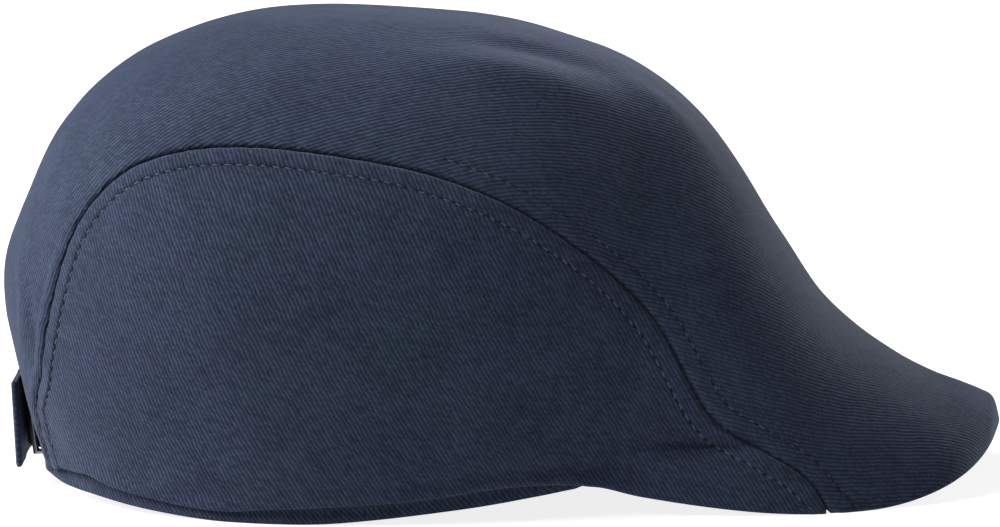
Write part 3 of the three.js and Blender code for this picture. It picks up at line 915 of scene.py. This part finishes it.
class CAP_OT_centre_panel(bpy.types.Operator):
    """Make the wide panel from the arch at the back to the edge of the peak"""

    bl_idname = "cap.centre_panel"
    bl_label = "Centre panel"

    def execute(self, context):
        sizes = context.scene.cap_sizes
        allowance = sizes.allowance / MM
        last = TIP - 0.10
        column_step = 1.9
        closer_in_middle = 1.15

        def place(c, w):
            s = c * last
            seam = rib_values(s)["seam"] - SEAM_HALF_GAP / np.maximum(rib_length(s), 1)
            return s, signed_power(2 * w - 1, closer_in_middle) * np.minimum(seam, 1)

        def surface(c, w, depth):
            s, u = place(c, w)
            return panel_point(s, u, depth, allowance, False)

        def ridges(c, w):
            s, u = place(c, w)
            length = np.interp(s, CENTRE_PLACES, CENTRE_ARC)
            across = arc_at(s, u) + np.interp(s, CENTRE_PLACES, CENTRE_LEAN)
            return np.stack([across, length], axis=-1)

        def sewing(c, w):
            return sewing_map(*place(c, w), False)

        columns = even_stations(ARCH, last, column_step) / last
        sheet = Sheet(surface, ridges, columns, sizes.detail, sizes.cloth / MM, sewing)
        obj = sheet.build("centre_panel_cloth")
        dress(obj, "panel_cotton", "twill", "centre_panel")
        return {"FINISHED"}


def side_span():
    """First and last place on the ribs where the side panel is wide enough to sew."""
    narrowest = 1.2
    s = np.linspace(0, CORNER + 6, 1801)
    rib = rib_values(s)
    width = (np.minimum(rib["hem"], 1) - rib["seam"]) * rib_length(s)
    wide = s[width > narrowest]
    return wide[0], wide[-1]


def side_ridges(points, side):
    """Ridge coordinates of a side panel, unrolled round the back of the cap.

    The ridges stand steeply at the back and lean more towards the front and the hem.
    """
    x = np.linspace(-140, 110, 251)
    slope = np.interp(x, (-126, -110, -98, -86, -74, -62), (1.35, 1.1, 0.87, 0.6, 0.35, 0))
    arc = running_total(np.sqrt(1 + slope[1:] ** 2))
    along = np.interp(points[..., 0], x, arc) - 88
    up = points[..., 2] - 68
    made = leaning(along, up, SIDE_RIDGE_LEAN)
    made[..., 0] += 0.0003 * along * up - 0.0008 * up**2
    return made * np.array((1, side))


def seam_tape(side, name, allowance, cloth):
    """Thin rolled tape that closes a panel seam from inside, so that no light comes through it."""
    radius = 0.29
    sides = 8
    above_inner_face = 0.07
    first, last = side_span()
    s = np.linspace(first + 0.10, last - 0.15, 420)
    u = -rib_values(s)["seam"]
    middle = panel_point(s, u, 0 * s + cloth - above_inner_face, allowance, True)
    outward = master_normal(s, u)
    along = unit(np.gradient(middle, axis=0))
    across = np.cross(outward, along)
    turn = np.arange(sides) * 2 * math.pi / sides
    ring = np.cos(turn)[:, None] * outward[:, None] + np.sin(turn)[:, None] * across[:, None]
    points = (middle[:, None] + radius * ring) * np.array((1, -side, 1))
    index = np.arange(len(s) * sides).reshape(len(s), sides)
    turned = np.roll(index, -1, axis=1)
    faces = np.stack([index[:-1], index[1:], turned[1:], turned[:-1]], axis=-1).reshape(-1, 4).tolist()
    faces += [index[0].tolist(), index[-1].tolist()[::-1]]
    length = np.linalg.norm(np.diff(middle, axis=0, prepend=middle[:1]), axis=1).cumsum()
    weave = np.stack(np.broadcast_arrays(length[:, None], radius * turn), axis=-1)
    obj = make_object(f"seam_tape_{name}", points.reshape(-1, 3), faces, {"weave": weave.reshape(-1, 2)})
    dress(obj, "under_cotton", "twill")


class CAP_OT_side_panels(bpy.types.Operator):
    """Make the two kidney-shaped side panels"""

    bl_idname = "cap.side_panels"
    bl_label = "Side panels"

    def execute(self, context):
        sizes = context.scene.cap_sizes
        allowance = sizes.allowance / MM
        first, last = side_span()
        column_step = 1.7
        for side, name in ((-1, "right"), (1, "left")):

            def place(c, w):
                s = first + (last - first) * c
                rib = rib_values(s)
                start = rib["seam"] + SEAM_HALF_GAP / rib_length(s)
                stop = np.minimum(rib["hem"], 1)
                return s, side * (start + (stop - start) * w)

            def surface(c, w, depth):
                s, u = place(c, w)
                return panel_point(s, u, depth, allowance, True)

            def ridges(c, w):
                return side_ridges(master(*place(c, w)), side)

            def sewing(c, w):
                return sewing_map(*place(c, w), True)

            columns = (even_stations(first, last, column_step) - first) / (last - first)
            sheet = Sheet(surface, ridges, columns, sizes.detail // 2, sizes.cloth / MM, sewing)
            obj = sheet.build(f"side_panel_{name}_cloth")
            dress(obj, "panel_cotton", "twill", f"side_panel_{name}")
            seam_tape(side, name, allowance, sizes.cloth / MM)
        return {"FINISHED"}


def head_point(angle, depth):
    """Plan position on the head opening, `angle` degrees to the left of its front."""
    turn = np.radians(angle)
    x = HEAD_CENTRE_X + (HEAD_HALF_LENGTH - depth) * np.cos(turn)
    return x, (HEAD_HALF_WIDTH - depth) * np.sin(turn)


def root_height(y):
    """Height of the peak's arched root, y mm from the centre line."""
    return ROOT_HEIGHT - PEAK_ARCH * y**2


def band_under_panels(s, rise, depth, cloth):
    """Point of the sweatband where it runs inside the panels and stands out below their hem."""
    rib = rib_values(s)
    u = -(1 - rise * BAND_HEIGHT / rib_length(s))
    below_hem = 1 - smooth(0.05, 0.10, rise)
    proud = (1.95 - 0.85 * smooth(7.5, 9.5, s)) * below_hem
    inside = cloth + GAP - proud + depth
    made = master(s, u) - master_normal(s, u) * inside[..., None]
    above_edge = made[..., 2] - np.maximum(rib["edge_z"], 0)
    made[..., 2] -= above_edge * np.clip(1 - rise * 7, 0, 1) ** 2
    return made


def band_half(t, rise, depth, cloth):
    """Point of the right half of the sweatband, with t from 0 at the back corner to 1 at the front."""
    turn = 0.62
    blend = 0.035
    widest_angle = 53
    s = np.clip(t / turn, 0, 1) * (CORNER - 0.52) + 0.02
    back = band_under_panels(s, rise, depth, cloth)
    angle = widest_angle * np.clip((1 - t) / (1 - turn), 0, 1)
    x, y = head_point(angle, depth)
    lower = 3 - 2.2 * smooth(30, widest_angle, angle)
    front = np.stack([x, -y, root_height(y) - lower + rise * BAND_HEIGHT], axis=-1)
    mix = smooth(turn - blend, turn + blend, t)[..., None]
    return back * (1 - mix) + front * mix


class CAP_OT_sweatband(bpy.types.Operator):
    """Make the sweatband, whose lower edge shows below the side panels"""

    bl_idname = "cap.sweatband"
    bl_label = "Sweatband"

    def execute(self, context):
        sizes = context.scene.cap_sizes
        cloth = sizes.cloth / MM

        def surface(c, w, depth):
            half = 1 - np.abs(2 * c - 1)
            points = band_half(half, 1 - w, depth, cloth)
            flip = np.where(c > 0.5, -1.0, 1.0)
            return points * np.stack([np.ones_like(flip), flip, np.ones_like(flip)], axis=-1)

        def ridges(c, w):
            angle = math.radians(BAND_RIDGE_ANGLE)
            lean = (math.sin(angle), math.cos(angle))
            return leaning(c * BAND_WEAVE_LENGTH, (1 - w) * BAND_HEIGHT, lean)

        sheet = Sheet(surface, ridges, np.linspace(0, 1, 301), 18, sizes.band_cloth / MM)
        obj = sheet.build("sweatband_cloth")
        dress(obj, "band_cotton", "band_twill", "sweatband")
        return {"FINISHED"}


class CAP_OT_peak(bpy.types.Operator):
    """Make the stiff arched peak with its plain under-cover"""

    bl_idname = "cap.peak"
    bl_label = "Peak"

    def execute(self, context):
        first = CORNER + 0.7
        widest_angle = 51
        lift = 0.3
        edge_inset = 2.3
        edge_slope = 0.75

        def surface(c, w, depth):
            t = 2 * c - 1
            side = np.where(t < 0, -1.0, 1.0)
            s = TIP - np.abs(t) * (TIP - first)
            step = master(np.minimum(s + 0.1, TIP), 1) - master(s - 0.1, 1)
            outward = np.stack([-step[..., 1], step[..., 0]], axis=-1)
            outward = unit(np.where(s[..., None] > TIP - 0.01, (1.0, 0.0), outward))
            point = master(s, 1)
            inset = edge_inset + edge_slope * (BOARD - depth)
            rim = np.stack([point[..., 0] - inset * outward[..., 0],
                            side * (point[..., 1] - inset * outward[..., 1]),
                            point[..., 2] + lift + BOARD - depth], axis=-1)
            x, y = head_point(widest_angle * (TIP - s) / (TIP - CORNER), -GAP - lift)
            root = np.stack([x, side * y, root_height(y) + lift + BOARD - depth], axis=-1)
            made = root + (rim - root) * (1 - w)[..., None]
            made[..., 2] += PEAK_ARCH * w * (1 - w) * (rim[..., 1] - root[..., 1]) ** 2
            return made

        def ridges(c, w):
            points = surface(c, w, 0 * c + BOARD)
            return np.stack([points[..., 1] * 0.8 + points[..., 0] * 0.6,
                             points[..., 0] * 0.8 - points[..., 1] * 0.6], axis=-1)

        sheet = Sheet(surface, ridges, np.linspace(0, 1, 161), 40, BOARD)
        obj = sheet.build("peak_under_cover")
        dress(obj, "under_cotton", "under_cover", "peak")
        return {"FINISHED"}


def strap_route(rise, depth, cloth, band_cloth):
    """Places that the strap runs through at a height from 0 (lower edge) to 1 (upper edge)."""
    u = STRAP_ENDS[0] + (STRAP_ENDS[1] - STRAP_ENDS[0]) * rise
    below = cloth + band_cloth + 2 * GAP + depth
    corners = [master(s, -u) - master_normal(s, -u) * below for s in (STRAP_TUCKED, 0.1)]
    for corner in corners:
        corner[..., 2] = np.maximum(corner[..., 2], 0)
    middle_z = STRAP_HEIGHTS[0] + (STRAP_HEIGHTS[1] - STRAP_HEIGHTS[0]) * rise
    middle = np.array((STRAP_MIDDLE_X + STRAP_LEAN * rise + depth, 0.0, middle_z))
    end = corners[1]
    shoulder = np.array((
        end[0] + (middle[0] - end[0]) * STRAP_FULLNESS, 0.6 * end[1], 0.5 * (end[2] + middle[2])))
    flip = np.array((1, -1, 1))
    return np.array([*corners, shoulder, middle, shoulder * flip, corners[1] * flip, corners[0] * flip])


def curve_through(points, t):
    """Centripetal Catmull-Rom curve through the points, for t from 0 to 1."""
    count = len(points)
    padded = np.vstack([2 * points[0] - points[1], points, 2 * points[-1] - points[-2]])
    place = np.clip(np.asarray(t, float), 0, 1) * (count - 1)
    i = np.minimum(place.astype(int), count - 2)
    f = (place - i)[..., None]
    p = [padded[i + k] for k in range(4)]
    gap = [np.sqrt(np.linalg.norm(p[k + 1] - p[k], axis=-1, keepdims=True)) for k in range(3)]
    gap = [np.maximum(g, 1e-4) for g in gap]
    m1 = (p[1] - p[0]) / gap[0] - (p[2] - p[0]) / (gap[0] + gap[1]) + (p[2] - p[1]) / gap[1]
    m2 = (p[2] - p[1]) / gap[1] - (p[3] - p[1]) / (gap[1] + gap[2]) + (p[3] - p[2]) / gap[2]
    m1, m2 = m1 * gap[1], m2 * gap[1]
    return ((2 * f**3 - 3 * f**2 + 1) * p[1] + (f**3 - 2 * f**2 + f) * m1
            + (3 * f**2 - 2 * f**3) * p[2] + (f**3 - f**2) * m2)


def strap_point(t, rise, depth, cloth, band_cloth):
    """Point of the back strap: t from 0 at the right end to 1 at the left end."""
    t, rise, depth = np.broadcast_arrays(t, rise, depth)
    faces = []
    for deep in (0.0, band_cloth):
        lower, upper = (curve_through(strap_route(edge, deep, cloth, band_cloth), t) for edge in (0.0, 1.0))
        faces.append(lower + (upper - lower) * rise[..., None])
    outer, inner = faces
    return outer + (inner - outer) * (depth / band_cloth)[..., None]


def make_strap(strap, band_cloth):
    """The strap across the arched opening."""

    def ridges(c, w):
        return leaning(c * STRAP_WEAVE_LENGTH, w * STRAP_WEAVE_WIDTH, STRAP_RIDGE_LEAN)

    sheet = Sheet(strap, ridges, np.linspace(0, 1, 81), 20, band_cloth)
    dress(sheet.build("back_strap_cloth"), "shaded_webbing", "twill", "back_strap")


def make_tail(strap):
    """The strap's free end, which lies on the strap at the left and stands off it at the right."""
    t = np.linspace(0, 1, 241)
    levels = 8
    lines = [strap(t, 0 * t + rise, 0 * t) for rise in np.linspace(0, 1, levels + 1)]
    lines = [line[np.argsort(line[:, 1])] for line in lines]

    def tail(c, w, depth):
        y = TAIL_LEFT + (TAIL_RIGHT - TAIL_LEFT) * c
        strap_x = np.stack([np.interp(y, line[:, 1], line[:, 0]) for line in lines], axis=-1)
        low = np.clip((w * levels).astype(int), 0, levels - 1)
        below = np.take_along_axis(strap_x, low[..., None], -1)[..., 0]
        above = np.take_along_axis(strap_x, low[..., None] + 1, -1)[..., 0]
        lying = below + (above - below) * (w * levels - low) - GAP
        standing = TAIL_BACK_X + TAIL_LEAN * w
        free = smooth(0, 0.55, c)
        x = np.minimum(lying + (standing - lying) * free, lying)
        z = TAIL_HEIGHTS[0] + (TAIL_HEIGHTS[1] - TAIL_HEIGHTS[0]) * w
        return np.stack([x - TAIL_CLOTH + depth, y, z], axis=-1)

    def ridges(c, w):
        return leaning(c * TAIL_WEAVE_LENGTH, w * STRAP_WEAVE_WIDTH, STRAP_RIDGE_LEAN)

    sheet = Sheet(tail, ridges, np.linspace(0, 1, 61), 20, TAIL_CLOTH)
    dress(sheet.build("strap_tail_cloth"), "strap_cotton", "twill", "strap_tail")


def make_slide():
    """The metal slide: the solid's own frame with its edges rounded."""
    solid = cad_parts["strap_slide"]
    shape = bmesh.new()
    shape.from_mesh(solid.data)
    shape.transform(solid.matrix_world)
    bmesh.ops.remove_doubles(shape, verts=shape.verts, dist=0.01 * MM)
    bmesh.ops.dissolve_limit(shape, angle_limit=0.05, verts=shape.verts, edges=shape.edges)
    sharp = [edge for edge in shape.edges if edge.calc_face_angle(0) > 0.5]
    bmesh.ops.bevel(shape, geom=sharp, offset=SLIDE_ROUNDING * MM, segments=3, profile=0.5, affect="EDGES")
    mesh = bpy.data.meshes.new("strap_slide_metal")
    shape.to_mesh(mesh)
    shape.free()
    mesh.shade_smooth()
    slide = bpy.data.objects.new("strap_slide_metal", mesh)
    bpy.context.scene.collection.objects.link(slide)
    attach(slide, "root")
    dress(slide, "slide_steel", "steel", "strap_slide")


class CAP_OT_back_strap(bpy.types.Operator):
    """Make the back strap, its free end and the metal slide"""

    bl_idname = "cap.back_strap"
    bl_label = "Back strap"

    def execute(self, context):
        sizes = context.scene.cap_sizes
        cloth, band_cloth = sizes.cloth / MM, sizes.band_cloth / MM

        def strap(c, w, depth):
            return strap_point(c, w, depth, cloth, band_cloth)

        make_strap(strap, band_cloth)
        make_tail(strap)
        make_slide()
        return {"FINISHED"}


def capsule(start, middle, end, up, radius):
    """Points and faces of one stitch: a six-sided thread that dips into the cloth at both ends."""
    sides = 6
    fullness = np.array((0.35, 0.85, 1, 1, 1, 0.85, 0.35))
    steps = len(fullness)
    t = np.linspace(0, 1, steps)[:, None]
    line = (1 - t) ** 2 * start + 2 * t * (1 - t) * middle + t**2 * end
    along = unit(np.gradient(line, axis=0))
    across = unit(np.cross(along, up))
    over = np.cross(across, along)
    turn = np.linspace(0, 2 * np.pi, sides + 1)[:-1]
    ring = np.cos(turn)[:, None] * across[:, None] + np.sin(turn)[:, None] * over[:, None]
    points = line[:, None] + radius * fullness[:, None, None] * ring
    index = np.arange(steps * sides).reshape(steps, sides)
    turned = np.roll(index, -1, axis=1)
    faces = np.stack([index[:-1], turned[:-1], turned[1:], index[1:]], axis=-1).reshape(-1, 4).tolist()
    faces += [index[0, ::-1].tolist(), index[-1].tolist()]
    return points.reshape(-1, 3), faces


def stitch_route(side, is_side, allowance):
    """Line on the cloth that keeps its distance from the seam, as points and outward directions."""
    first, last = (1.1, 16.3) if is_side else (8.2, 17.4)
    low, high = (-0.30, 0.42) if is_side else (-0.42, 0.02)
    above_hem = 1.5
    far = 1e3
    s = np.linspace(first, last, 420)
    rib = rib_values(s)
    seam = rib["seam"][:, None]
    grid = seam + np.linspace(low, high, 240)
    inside = (grid > seam) if is_side else (grid < seam)
    grid = np.clip(grid, 0.02, 1)
    points = master(s[:, None] + 0 * grid, -grid)
    distance, along = seam_distance(points)
    inside &= is_side | (along > FRONT_STITCHES)
    error = np.where(inside, np.abs(distance - allowance), far)
    best = error.argmin(axis=1)
    chosen = grid[np.arange(len(s)), best]
    keep = error[np.arange(len(s)), best] < 0.6
    keep &= chosen < np.minimum(rib["hem"], 1) - above_hem / rib_length(s)
    s = s[keep]

    # The chosen places are evened out over their neighbours.
    reach = 6
    weights = np.hanning(2 * reach + 1)
    padded = np.pad(chosen[keep], reach, mode="edge")
    u = side * np.convolve(padded, weights / weights.sum(), mode="valid")
    base = master(s, u)
    normal = master_normal(s, u)
    return base + normal * relief(base, allowance, is_side)[:, None], normal


def sew_row(side, is_side, name, sizes):
    """One row of stitches, with dark capsules that paint the shade in its needle holes."""
    pitch = sizes.stitch_pitch / MM
    length = sizes.stitch_length / MM
    radius = 0.5 * sizes.thread / MM
    hole_radius = 0.22
    half_hole = 0.55
    line, normal = stitch_route(side, is_side, sizes.allowance / MM)
    arc = running_total(np.linalg.norm(np.diff(line, axis=0), axis=1))
    stitches, holes = [], []
    jitter = np.random.default_rng(11)

    def place(distance):
        point = np.array([np.interp(distance, arc, line[:, k]) for k in range(3)])
        up = unit(np.array([np.interp(distance, arc, normal[:, k]) for k in range(3)]))
        ahead = np.array([np.interp(distance + 0.5, arc, line[:, k]) for k in range(3)])
        return point, up, unit(np.cross(up, unit(ahead - point + 1e-6)))

    for start in np.arange(1, arc[-1] - pitch, pitch):
        end = start + length * jitter.uniform(0.92, 1.06)
        sunk = 0.20 * (1 - smooth(20, 45, start)) if is_side else 0.0
        (first, up, across), (last, _, _) = place(start), place(end)
        middle = place(0.5 * (start + end))[0]
        tilt = across * jitter.uniform(0.05, 0.22)
        low = 0.22 * up
        stitches.append(capsule(
            first - low + tilt, middle + up * (0.34 - sunk), last - low - tilt, up, radius))
        # Painted shade: a dark capsule at each needle hole stands for the shade inside it.
        hole, up, across = place(start - 0.5 * (pitch - length))
        along = half_hole * np.cross(across, up)
        low = 0.2 * up
        holes.append(capsule(
            hole - along - low, hole + 0.04 * up, hole + along - low, up, hole_radius))

    for pieces, kind, material in ((stitches, "topstitch", "sewing_thread"),
                                   (holes, "needle_hole_shade", "needle_hole_shade")):
        points = np.vstack([made for made, _ in pieces])
        count = len(pieces[0][0])
        faces = [[v + count * i for v in face] for i, (_, sides) in enumerate(pieces) for face in sides]
        dress(make_object(f"{kind}_{name}", points, faces), material, "twill")


class CAP_OT_topstitching(bpy.types.Operator):
    """Sew the rows of topstitching beside the seams"""

    bl_idname = "cap.topstitching"
    bl_label = "Topstitching"

    def execute(self, context):
        rows = ((-1, True, "right_side"), (1, True, "left_side"),
                (-1, False, "right_front"), (1, False, "left_front"))
        for side, is_side, name in rows:
            sew_row(side, is_side, name, context.scene.cap_sizes)
        return {"FINISHED"}


def lay_floor(colours):
    """The glowing white floor with its far raised edge."""
    half = FLOOR_HALF
    corners = [(x, y, z) for z in (0, FLOOR_RISE)
               for x, y in ((-half, -half), (half, -half), (half, half), (-half, half))]
    walls = [(0, 4, 5, 1), (1, 5, 6, 2), (2, 6, 7, 3), (3, 7, 4, 0)]
    mesh = bpy.data.meshes.new("floor")
    mesh.from_pydata(corners, [], [(0, 1, 2, 3)] + walls)
    floor = bpy.data.objects.new("floor", mesh)
    bpy.context.scene.collection.objects.link(floor)
    material = bpy.data.materials.new("floor_paper")
    material.use_nodes = True
    shader = material.node_tree.nodes["Principled BSDF"]
    shader.inputs["Base Color"].default_value = (*colours.floor, 1)
    shader.inputs["Roughness"].default_value = 0.9
    shader.inputs["Specular IOR Level"].default_value = 0.0
    shader.inputs["Emission Color"].default_value = (1, 1, 1, 1)
    shader.inputs["Emission Strength"].default_value = FLOOR_GLOW
    mesh.materials.append(material)


def hang_lights(scene):
    """The dim sky and the wide soft lights."""
    world = bpy.data.worlds.new("studio")
    scene.world = world
    world.use_nodes = True
    sky = world.node_tree.nodes["Background"]
    sky.inputs["Color"].default_value = (0.96, 0.98, 1.0, 1)
    sky.inputs["Strength"].default_value = SKY_STRENGTH
    for name, direction, width, strength in LIGHTS:
        data = bpy.data.lights.new(name, "SUN")
        data.angle = math.radians(width)
        data.energy = strength
        lamp = bpy.data.objects.new(name, data)
        lamp.location = Vector(direction)
        lamp.rotation_euler = (-Vector(direction)).to_track_quat("-Z", "Y").to_euler()
        scene.collection.objects.link(lamp)


def set_camera(scene):
    """The camera on the cap's right, a little above it."""
    tilt = math.radians(CAMERA_ELEVATION)
    target = Vector(CAMERA_AIM) * MM
    data = bpy.data.cameras.new("camera")
    data.sensor_width = SENSOR_WIDTH
    data.lens = SENSOR_WIDTH * CAMERA_DISTANCE / VIEW_WIDTH
    camera = bpy.data.objects.new("camera", data)
    reach = CAMERA_DISTANCE * MM
    camera.location = target + Vector((0, -reach * math.cos(tilt), reach * math.sin(tilt)))
    camera.rotation_euler = (math.radians(90) - tilt, 0, 0)
    scene.collection.objects.link(camera)
    scene.camera = camera


class CAP_OT_stage(bpy.types.Operator):
    """Set the floor, the soft studio light and the camera"""

    bl_idname = "cap.stage"
    bl_label = "Stage"

    def execute(self, context):
        scene = context.scene
        lay_floor(scene.cap_colours)
        hang_lights(scene)
        set_camera(scene)
        scene.view_settings.view_transform = "Standard"
        return {"FINISHED"}


class CAP_PT_panel(bpy.types.Panel):
    """Sidebar panel with the cap's sizes, colours and pieces"""

    bl_idname = "CAP_PT_panel"
    bl_label = "Flat Cap"
    bl_space_type = "VIEW_3D"
    bl_region_type = "UI"
    bl_category = "Cap"

    def draw(self, context):
        for group in (context.scene.cap_sizes, context.scene.cap_colours):
            box = self.layout.box()
            for name in group.bl_rna.properties.keys():
                if name not in ("rna_type", "name"):
                    box.prop(group, name)
        for operator in PIECES:
            self.layout.operator(operator.bl_idname)


PIECES = (
    CAP_OT_centre_panel, CAP_OT_side_panels, CAP_OT_sweatband, CAP_OT_peak, CAP_OT_back_strap,
    CAP_OT_topstitching, CAP_OT_stage)
CLASSES = (CapSizes, CapColours, *PIECES, CAP_PT_panel)


def register():
    for cls in CLASSES:
        bpy.utils.register_class(cls)
    bpy.types.Scene.cap_sizes = PointerProperty(type=CapSizes)
    bpy.types.Scene.cap_colours = PointerProperty(type=CapColours)


def unregister():
    del bpy.types.Scene.cap_colours
    del bpy.types.Scene.cap_sizes
    for cls in reversed(CLASSES):
        bpy.utils.unregister_class(cls)


def main():
    register()
    bpy.ops.cap.centre_panel()
    bpy.ops.cap.side_panels()
    bpy.ops.cap.sweatband()
    bpy.ops.cap.peak()
    bpy.ops.cap.back_strap()
    bpy.ops.cap.topstitching()
    bpy.ops.cap.stage()


if __name__ == "__main__":
    main()
